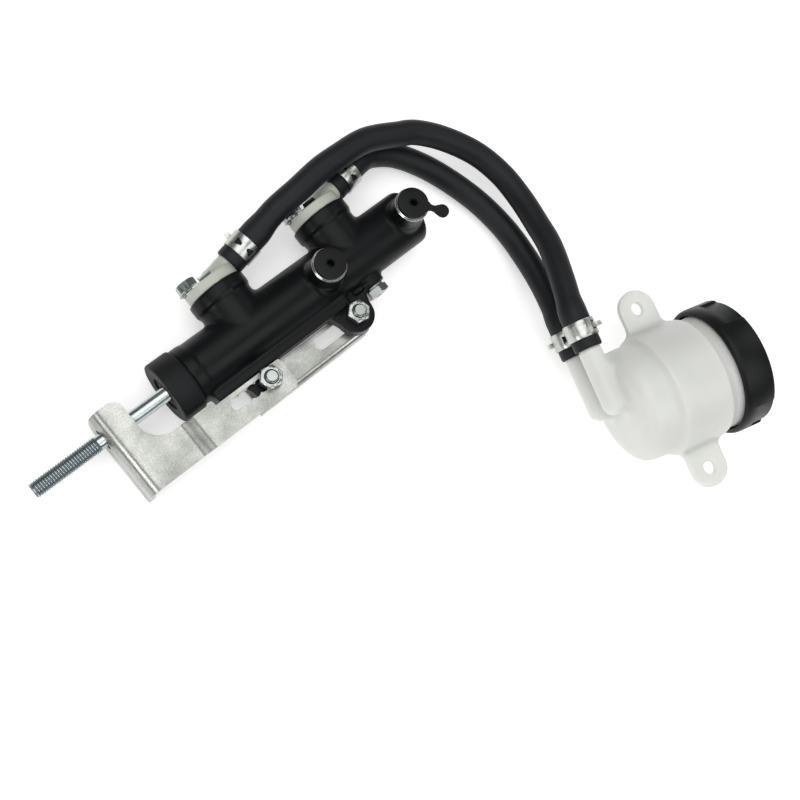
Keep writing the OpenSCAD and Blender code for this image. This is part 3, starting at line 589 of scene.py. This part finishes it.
def thread(shape, place, radius, pitch, low, high, sides=36):
    """A right-hand thread from low to high up the placed Z axis. Its rings climb with the helix, so that each
    crest and root is an edge, and it fades out at both ends."""
    deep = radius - 0.6 * pitch
    form = [(0.0, radius), (0.15, radius), (0.5, deep), (0.68, deep)]
    turns = math.ceil((high - low) / pitch) + 2
    rings = []
    for k in range(turns * len(form) + 1):
        part, r = form[k % len(form)]
        ring = []
        for s in range(sides):
            z = low + pitch * (k // len(form) - 1 + part + s / sides)
            held = min(high, max(low, z))
            fade = min(1, (held - low) / pitch, (high - held) / pitch)
            turn = 2 * math.pi * s / sides
            edge = deep + (r - deep) * max(0, fade)
            ring.append(shape.verts.new(place @ Vector((edge * math.cos(turn), edge * math.sin(turn),
                                                        held)) * mm))
        rings.append(ring)
    for k, (one, two) in enumerate(zip(rings, rings[1:])):
        for s in range(sides - 1):
            shape.faces.new((one[s], one[s + 1], two[s + 1], two[s]))
        if k + len(form) + 1 < len(rings):
            shape.faces.new((one[-1], rings[k + len(form)][0], rings[k + len(form) + 1][0], two[-1]))
    bmesh.ops.remove_doubles(shape, verts=shape.verts, dist=0.002 * mm)
    bmesh.ops.dissolve_degenerate(shape, edges=shape.edges, dist=0.002 * mm)
    loose = [e for e in shape.edges if e.is_boundary]
    bmesh.ops.holes_fill(shape, edges=loose, sides=0)
    bmesh.ops.recalc_face_normals(shape, faces=shape.faces)
    return shape


from_tip = Matrix.Rotation(math.radians(90), 4, "Y")
rod = thread(bmesh.new(), from_tip, 4.0, 1.25, 0.0, 34.0)
ball = [(4.9 * math.cos(math.radians(a)), 83.2 + 4.9 * math.sin(math.radians(a))) for a in range(-42, 90, 6)]
turned(rod, [(0, 33.0), (3.3, 33.0), (3.45, 34.2), (3.45, 79.6)] + ball + [(0, 88.1)], from_tip, sides=36,
       closed=False)
rolled, tree, shader, where = new_material("zinc_plated_steel_rolled_thread", "#a0a6a8", 0.24, 1.0)
# Rolled thread: the roots, 3.25 mm from the rod's axis, get a painted shade of darker grey and are rougher; the
# crests keep the bright plated tint
across = add_node(tree, "ShaderNodeVectorMath", {0: where, 1: (0, 1, 1)}, operation="MULTIPLY")
from_axis = add_node(tree, "ShaderNodeVectorMath", {0: across}, operation="LENGTH")
crest = add_node(tree, "ShaderNodeMapRange", {"Value": from_axis, "From Min": 3.35 * mm, "From Max": 3.9 * mm})
along = add_node(tree, "ShaderNodeSeparateXYZ", {"Vector": where})
threaded = add_node(tree, "ShaderNodeMath", {0: along.outputs["X"], 1: 33.6 * mm}, operation="LESS_THAN")
root = add_node(tree, "ShaderNodeMath", {0: threaded, 1: crest}, operation="SUBTRACT", use_clamp=True)
stain = add_node(tree, "ShaderNodeTexNoise", {"Vector": where, "Scale": 120.0, "Detail": 3.0})
tint = add_node(tree, "ShaderNodeMix", {0: stain, 6: colour("#a3afb4"), 7: colour("#ccd0cc")}, data_type="RGBA")
# painted shade: the thread roots are coloured darker grey, as if shadowed
tint_with_painted_root_shade = add_node(tree, "ShaderNodeMix", {0: root, 6: tint, 7: colour("#848f94")}, data_type="RGBA")
gloss = add_node(tree, "ShaderNodeMapRange", {"Value": root, "To Min": 0.22, "To Max": 0.5})
lead(shader, Base_Color=tint_with_painted_root_shade, Roughness=gloss)
place_piece(rod, "threaded_pushrod", rolled, "pushrod", "zinc_plate", "pushrod", smooth=50)

# ---- Inlet connectors, retaining strips and bolts ------------------------------
# Each inlet takes an elbow moulded in natural nylon, with its spigot in a rubber seal. A forked
# strip of zinc-plated steel and one M6 flange bolt hold it down.
nylon, tree, shader, where = new_material("nylon_natural_moulded", "#c9ccc0", 0.42, Subsurface_Weight=0.12,
                                          Subsurface_Scale=1.0 * mm)
# Natural nylon: slightly green ivory, a little translucent, with soft sink marks and a dull skin
sink = add_node(tree, "ShaderNodeTexNoise", {"Vector": where, "Scale": 130.0, "Detail": 2.0})
tint = add_node(tree, "ShaderNodeMix", {0: sink, 6: colour("#adb1a5"), 7: colour("#c6c9be")}, data_type="RGBA")
bump = add_node(tree, "ShaderNodeBump", {"Height": sink, "Strength": 0.15, "Distance": 0.4 * mm})
lead(shader, Base_Color=tint, Normal=bump)

for name in ("primary", "secondary"):
    place_piece(copy_of(name + "_connector"), name + "_inlet_elbow", nylon, "root", "white_nylon",
                name + "_connector", smooth=180, modifiers=soft_corners(0.42, 0.6, 4))

place_piece(copy_of("retaining_strips"), "elbow_retaining_strips", blue_zinc, "root", "zinc_plate",
            "retaining_strips",
            modifiers=[("BEVEL", {"width": 0.15 * mm, "segments": 2, "limit_method": "ANGLE"})])

flange_bolt = [(0, 4.7), (2.7, 4.7), (3.1, 5.15), (4.3, 5.2), (4.62, 5.05, -0.55), (4.62, 1.5, 0.0),
               (4.95, 1.3), (5.45, 0.75), (5.6, 0.45), (5.45, 0.02), (3.0, 0.0), (3.0, -13.6), (0, -13.8)]
bolts = bmesh.new()
for x in inlets:
    on_strip = Matrix.Translation((rod_out + x - 9.6, 31.0, 0)) @ Matrix.Rotation(math.radians(-90), 4, "X")
    turned(bolts, flange_bolt, on_strip, sides=48, closed=False)
place_piece(bolts, "elbow_flange_bolts", blue_zinc, "root", "zinc_plate", "connector_bolts")

# ---- Transit plugs in the outlet ports ----------------------------------------
# Soft polyethylene plugs keep dirt out until the brake pipes go in. Each is a disc on a stem with a
# moulded dimple; the one at the closed end has a pull tab.
plug_black, tree, shader, where = new_material("polyethylene_black_moulded", "#0f1011", 0.5,
                                               Specular_IOR_Level=0.2)
# Soft polyethylene: waxy black that scuffs grey, with scuffs of three millimetres and less
scuff = add_node(tree, "ShaderNodeTexNoise", {"Vector": where, "Scale": 320.0, "Detail": 6.0})
tint = add_node(tree, "ShaderNodeMix", {0: scuff, 6: colour("#0b0c0d"), 7: colour("#18191b")}, data_type="RGBA")
gloss = add_node(tree, "ShaderNodeMapRange", {"Value": scuff, "To Min": 0.38, "To Max": 0.62})
lead(shader, Base_Color=tint, Roughness=gloss)

plug_profile = [(0, -2.5), (1.35, -2.5), (1.5, 0.9), (1.75, 2.0), (2.0, 2.25), (2.4, 2.25), (2.65, 2.0),
                (6.9, 2.0), (7.3, 1.85), (7.5, 1.5), (7.5, 0.3), (7.3, 0.05), (4.3, 0.0), (4.12, -1.0),
                (4.12, -9.2), (3.6, -9.9), (0, -10)]
for k, name in enumerate(("primary_port_plug", "secondary_port_plug")):
    on_port = Matrix.Translation((rod_out + ports[k], 0, 26.55))
    plug = turned(bmesh.new(), plug_profile, on_port, closed=False)
    if k == 1:
        outline = [(7.0, 2.6), (8.2, 1.6), (9.6, 1.35), (10.8, 1.6), (11.8, 2.3)]
        outline += [(14.4 + 3.2 * math.cos(math.radians(a)), 3.2 * math.sin(math.radians(a)))
                    for a in range(130, -1, -13)]
        outline += [(x, -y) for x, y in reversed(outline)][1:]
        swing = on_port @ Matrix.Rotation(math.radians(-50), 4, "Z")
        levels = [(0.35, 0.15), (0.0, 0.5), (0.0, 1.5), (0.35, 1.85)]
        rims = [[plug.verts.new(swing @ Vector((11 + (x - 11) * (1 - inset / 6), y * (1 - inset / 4), z)) * mm)
                 for x, y in outline] for inset, z in levels]
        for one, two in zip(rims, rims[1:]):
            for j in range(len(outline)):
                plug.faces.new((one[j], one[(j + 1) % len(outline)], two[(j + 1) % len(outline)], two[j]))
        plug.faces.new(rims[0])
        plug.faces.new(rims[-1])
        bmesh.ops.recalc_face_normals(plug, faces=plug.faces)
    place_piece(plug, name.replace("port", "outlet"), plug_black, name, "plug_black", name)

# ---- Stop screw for the secondary piston ---------------------------------------
# An M6 hexagon screw with a dog point, sealed under its head by a soft aluminium washer.
on_stop = Matrix.Translation((rod_out + inlets[1], 0, 0)) @ Matrix.Rotation(math.radians(90), 4, "X")
stop_profile = [(0, 22.1), (2.4, 22.1), (2.8, 22.5), (4.6, 22.5), (4.98, 22.3, -0.55), (4.98, 18.75, 0.3),
                (4.7, 18.5), (3.0, 18.5), (3.0, 9.7), (1.3, 9.6), (1.3, 5.6), (0, 5.5)]
place_piece(turned(bmesh.new(), stop_profile, on_stop, sides=48, closed=False), "piston_stop_screw", blue_zinc,
            "root", "zinc_plate", "stop_screw")

sealing, tree, shader, where = new_material("aluminium_soft_washer", "#9a9b99", 0.4, 1.0)
# Soft aluminium: dull grey, blotched by handling over a millimetre or two
blotch = add_node(tree, "ShaderNodeTexNoise", {"Vector": where, "Scale": 450.0, "Detail": 4.0})
tint = add_node(tree, "ShaderNodeMix", {0: blotch, 6: colour("#7b7c7a"), 7: colour("#b5b6b4")},
                data_type="RGBA")
lead(shader, Base_Color=tint)
washer_profile = [(3.05, 17.55), (4.65, 17.52), (4.8, 17.7), (4.8, 18.3), (4.65, 18.48), (3.05, 18.45)]
place_piece(turned(bmesh.new(), washer_profile, on_stop), "stop_screw_sealing_washer", sealing, "root",
            "alloy_washer", "stop_screw_washer")

# ---- Bracket, mounting bolts and nuts --------------------------------------------
# Two plates of 3 mm steel, blanked, pierced and bent, then zinc plated. They grip the cylinder's two
# ears, one from each side, and their slots let the pushrod's guide hole be set. Two M6 bolts with
# nuts hold them.
zinc_sheet, tree, shader, where = new_material("zinc_plated_steel_sheet", "#a3a59f", 0.34, 1.0)
# Plated sheet: a warm dull grey with a fine grain of 0.8 mm, rubbed bright patches of 14 mm, and hairline
# scratches along the plate from stacking, 0.4 mm wide so that they show
fine = add_node(tree, "ShaderNodeTexNoise", {"Vector": where, "Scale": 1300.0, "Detail": 3.0})
patch = add_node(tree, "ShaderNodeTexNoise", {"Vector": where, "Scale": 70.0, "Detail": 3.0, "Roughness": 0.5})
stretched = add_node(tree, "ShaderNodeMapping", {"Vector": where, "Scale": (90.0, 2600.0, 400.0)})
hairs = add_node(tree, "ShaderNodeTexNoise", {"Vector": stretched, "Scale": 1.0, "Detail": 3.0})
hair = add_node(tree, "ShaderNodeMapRange", {"Value": hairs, "From Min": 0.62, "From Max": 0.72, "To Max": 0.5})
sparkle = add_node(tree, "ShaderNodeMix", {0: 0.4, 2: patch, 3: fine}, data_type="FLOAT")
even = add_node(tree, "ShaderNodeMapRange", {"Value": sparkle, "From Min": 0.32, "From Max": 0.68})
tint = add_node(tree, "ShaderNodeMix", {0: even, 6: colour("#7f817c"), 7: colour("#b6b7b2")}, data_type="RGBA")
scored = add_node(tree, "ShaderNodeMix", {0: hair, 6: tint, 7: colour("#7c7e79")}, data_type="RGBA")
gloss = add_node(tree, "ShaderNodeMapRange", {"Value": patch, "From Min": 0.35, "From Max": 0.65,
                                              "To Min": 0.36, "To Max": 0.25})
bump = add_node(tree, "ShaderNodeBump", {"Height": sparkle, "Strength": 0.06, "Distance": 0.03 * mm})
lead(shader, Base_Color=scored, Roughness=gloss, Normal=bump)

plate = 3.0


def corner(x, y, radius, first, last, steps=10):
    """Points of a rounded corner, by its centre and the angles it turns through."""
    turns = [math.radians(first + (last - first) * k / steps) for k in range(steps + 1)]
    return [(x + radius * math.cos(t), y + radius * math.sin(t)) for t in turns]


def pressed_plate(name, outline, holes, folds, bend, *stands_for):
    """A plate from its flat blank: the outline and holes are filled, cut across where it folds, bent, and given
    its thickness on the inside."""
    blank = bmesh.new()
    for loop in [outline] + holes:
        verts = [blank.verts.new((x, y, 0)) for x, y in loop]
        for a, b in zip(verts, verts[1:] + verts[:1]):
            blank.edges.new((a, b))
    bmesh.ops.remove_doubles(blank, verts=blank.verts, dist=0.001)
    bmesh.ops.triangle_fill(blank, edges=blank.edges, use_beauty=True, use_dissolve=False)
    for where, way in folds:
        bmesh.ops.bisect_plane(blank, geom=blank.verts[:] + blank.edges[:] + blank.faces[:], dist=1e-5,
                               plane_co=where, plane_no=way)
    blank.normal_update()
    if sum(f.normal.z for f in blank.faces) < 0:
        bmesh.ops.reverse_faces(blank, faces=blank.faces)
    for v in blank.verts:
        v.co = Vector(bend(v.co.x, v.co.y)) * mm
    for face in blank.faces:
        face.smooth = True
    return place_piece(blank, name, zinc_sheet, "root", "zinc_plate", *stands_for, smooth=30, modifiers=[
        ("SOLIDIFY", {"thickness": plate * mm, "offset": -1.0, "use_even_offset": True}),
        ("BEVEL", {"width": 0.35 * mm, "segments": 3, "limit_method": "ANGLE",
                   "angle_limit": math.radians(50)}),
        ("WEIGHTED_NORMAL", {"keep_sharp": True, "weight": 80})])


# Front plate: a flange with the pushrod's hole, a deck over the pushrod, and a step down to the ear.
# Its blank runs along the bore from the flange's lower edge, at 0
flange_up, bend_out = 17.5, 7.0
deck_from = flange_up + bend_out * math.pi / 2
deck_shift = deck_from + 26.5


def front_bend(u, y):
    if u <= flange_up:
        return rod_out - 33.5, y, u - 14.5
    if u < deck_from:
        turn = (u - flange_up) / bend_out
        return rod_out - 26.5 - bend_out * math.cos(turn), y, 3 + bend_out * math.sin(turn)
    x = u - deck_shift
    return rod_out + x, y, 10 - 3 * step_up(x, -5.5, 3)


bolts_x, bolts_y, hole_r = [40.4, 94.0], -23.3, 3.25
outline = [(0, -33.2), *corner(deck_shift + 48.5, -31.7, 1.5, 270, 360),
           *corner(deck_shift + 48.5, -19.6, 1.5, 0, 90), (deck_shift + 14, -18.1), (deck_shift + 12, -16),
           *corner(deck_shift - 8.3, -5, 11, 270, 180),
           *corner(deck_shift - 24.3, 5.5, 5, 0, 90), *corner(6, 4.5, 6, 90, 180)]
# The front plate's slot is a row of overlapping holes, which meet at this angle from the row's line
lobes, pitch = 5, 4.6
half = math.degrees(math.acos(pitch / 2 / hole_r))


def lobe(k, first, last, steps):
    """Points round one hole of the row, which starts at the front bolt."""
    return corner(deck_shift + bolts_x[0] - k * pitch, bolts_y, hole_r, first, last, steps)


slot = lobe(0, half - 180, 180 - half, 24)
for k in range(1, lobes - 1):
    slot += lobe(k, half, 180 - half, 8)
slot += lobe(lobes - 1, half, 180 + half, 20)
for k in range(lobes - 2, 0, -1):
    slot += lobe(k, 180 + half, 360 - half, 8)
folds = [((flange_up + j * bend_out * math.pi / 24, 0, 0), (1, 0, 0)) for j in range(13)]
folds += [((deck_shift - 5.5 + j * 0.5, 0, 0), (1, 0, 0)) for j in range(18)]
pressed_plate("bracket_front_plate", outline, [corner(14.5, 0, 5.2, 0, 351, 39), slot], folds, front_bend,
              "bracket_front")


# Rear plate: flat under the ears, with its outer edge folded down to stiffen it
fold_y, fold_r, rear_top = -30.2, 3.0, -4.0


def rear_bend(x, w):
    if w > fold_y:
        return rod_out + x, w, rear_top
    turn = min(math.pi / 2, (fold_y - w) / fold_r)
    drop = max(0, fold_y - w - fold_r * math.pi / 2)
    return rod_out + x, fold_y - fold_r * math.sin(turn), rear_top - fold_r * (1 - math.cos(turn)) - drop


lip = fold_y - fold_r * math.pi / 2 - 5
outline = [(31, lip), *corner(93, lip + 1.5, 1.5, 270, 360, 6), (94.5, -33.2),
           *corner(94.5, -29.2, 4, 270, 360), *corner(94.5, -22.1, 4, 0, 90), (31, -18.1)]
long_slot = corner(73.6, bolts_y, hole_r, 90, 270, 20) + corner(bolts_x[1], bolts_y, hole_r, 270, 450, 20)
folds = [((0, fold_y - j * fold_r * math.pi / 16, 0), (0, 1, 0)) for j in range(9)]
pressed_plate("bracket_rear_plate", outline, [corner(bolts_x[0], bolts_y, hole_r, 0, 351, 39), long_slot],
              folds, rear_bend, "bracket_rear")

bolt_head = [(0, -4), (4.6, -4), (5.0, -3.8, 0.55), (5.0, -0.1, 0.0), (4.9, 0), (2.45, 0.0)]
nut = [(3.3, 0.0), (4.75, 0.0), (5.0, 0.2, 0.5), (5.0, 5.0, -0.5), (4.75, 5.2), (3.5, 5.2), (3.02, 4.8),
       (3.02, 0.4)]
bolts, nuts = bmesh.new(), bmesh.new()
for x, seat in zip(bolts_x, (7, 4)):
    on_ear = Matrix.Translation((rod_out + x, bolts_y, 0))
    stud = thread(bmesh.new(), on_ear, 3.0, 1.0, -7.5, seat + 7.2, sides=32)
    turned(stud, bolt_head + [(0, 0.1)], on_ear @ Matrix.Translation((0, 0, -7)), sides=48, closed=False)
    joined = bpy.data.meshes.new("stud")
    stud.to_mesh(joined)
    stud.free()
    bolts.from_mesh(joined)
    turned(nuts, nut, on_ear @ Matrix.Translation((0, 0, seat)) @ Matrix.Rotation(math.radians(18), 4, "Z"),
           sides=48)
place_piece(bolts, "bracket_hex_bolts", blue_zinc, "root", "zinc_plate", "mount_bolts", smooth=40)
place_piece(nuts, "bracket_hex_nuts", blue_zinc, "root", "zinc_plate", "mount_nuts")

# ---- Reservoir bottle ------------------------------------------------------------
# A blow-moulded bottle in natural high-density polyethylene: two outlets for the hoses, two ears for
# its fixing screws, and a neck for the screw cap. The walls are 2.5 mm and let light through.
hdpe, tree, shader, where = new_material("hdpe_natural_blow_moulded", "#dfe0dc", 0.38, Subsurface_Weight=0.8,
                                         Subsurface_Scale=4 * mm)
shader.inputs["Subsurface Radius"].default_value = (1.0, 1.0, 0.95)
# Natural HDPE: milky and soft, faintly cloudy over centimetres, with a waxy skin that breaks up highlights
milk = add_node(tree, "ShaderNodeTexNoise", {"Vector": where, "Scale": 28.0, "Detail": 3.0})
tint = add_node(tree, "ShaderNodeMix", {0: milk, 6: colour("#d4d5d0"), 7: colour("#e8e9e5")}, data_type="RGBA")
wax = add_node(tree, "ShaderNodeTexNoise", {"Vector": where, "Scale": 240.0, "Detail": 4.0})
gloss = add_node(tree, "ShaderNodeMapRange", {"Value": wax, "To Min": 0.3, "To Max": 0.48})
bump = add_node(tree, "ShaderNodeBump", {"Height": wax, "Strength": 0.1, "Distance": 0.3 * mm})
lead(shader, Base_Color=tint, Roughness=gloss, Normal=bump)
place_piece(copy_of("reservoir_body"), "reservoir_bottle", hdpe, "root", "hdpe", "reservoir_body", smooth=180,
            modifiers=soft_corners(0.8, 1.3, 18))

# ---- Reservoir cap ---------------------------------------------------------------
# The screw cap is one black polypropylene moulding with three broad raised grips. A black plate under it
# presses the rubber diaphragm onto the neck, and both lift with it.
cap_black, tree, shader, where = new_material("polypropylene_black_moulded", "#0d0e0f", 0.4,
                                              Specular_IOR_Level=0.2)
# Moulded polypropylene: satin black with a spark-eroded grain, drawn at 1.1 mm so that it shows
grain = add_node(tree, "ShaderNodeTexNoise", {"Vector": where, "Scale": 900.0, "Detail": 3.0})
haze = add_node(tree, "ShaderNodeTexNoise", {"Vector": where, "Scale": 70.0, "Detail": 3.0})
gloss = add_node(tree, "ShaderNodeMapRange", {"Value": haze, "To Min": 0.34, "To Max": 0.48})
tint = add_node(tree, "ShaderNodeMix", {0: haze, 6: colour("#0b0c0d"), 7: colour("#141617")}, data_type="RGBA")
bump = add_node(tree, "ShaderNodeBump", {"Height": grain, "Strength": 0.2, "Distance": 0.08 * mm})
lead(shader, Base_Color=tint, Roughness=gloss, Normal=bump)

on_axis = frame_on(reservoir_at, cap_way, ear_way)
grips, round_steps = 3, 720


def cap_ring(radius, height, relief):
    """A ring of the cap: between the raised grips it is cut back by relief, with short steep ends. A grip spans
    57 to 138 degrees, and every 120 degrees from there."""
    ring = []
    for k in range(round_steps):
        share = (k / round_steps * grips - 57 * grips / 360) % 1
        low_part = step_up(share, 0.673, 0.678) * (1 - step_up(share, 0.995, 1.0))
        r, turn = radius - relief * low_part, 2 * math.pi * k / round_steps
        ring.append(cap.verts.new(on_axis @ Vector((r * math.cos(turn), r * math.sin(turn), height)) * mm))
    return ring


cap = bmesh.new()
rings = [cap_ring(*row) for row in (
    (30.2, 19.9, 0), (31.7, 19.9, 0), (32.1, 20.2, 0), (32.7, 21.5, 0), (32.85, 23.0, 0), (32.85, 26.0, 0),
    (32.85, 26.2, 1.1), (32.8, 34.6, 1.1), (32.5, 35.3, 0.9), (32.0, 35.8, 0.4), (31.3, 36.05, 0.1),
    (30.4, 36.1, 0), (24.0, 36.1, 0), (23.6, 35.8, 0), (8.0, 35.8, 0), (29.8, 33.85, 0), (30.2, 33.5, 0))]
for one, two in zip(rings, rings[1:] + rings[:1]):
    if (one[0].co - two[0].co).length < 20 * mm:
        for k in range(round_steps):
            cap.faces.new((one[k], one[(k + 1) % round_steps], two[(k + 1) % round_steps], two[k]))
    else:  # the flat disc of the top, outside and inside
        cap.faces.new(one)
        cap.faces.new(two)
bmesh.ops.recalc_face_normals(cap, faces=cap.faces)
place_piece(cap, "reservoir_screw_cap", cap_black, "reservoir_cap", "cap_black", "reservoir_cap", smooth=40,
            modifiers=[("BEVEL", {"width": 0.12 * mm, "segments": 1, "limit_method": "ANGLE",
                                  "angle_limit": math.radians(55)})])
coat(cap_black, "cap_plate")
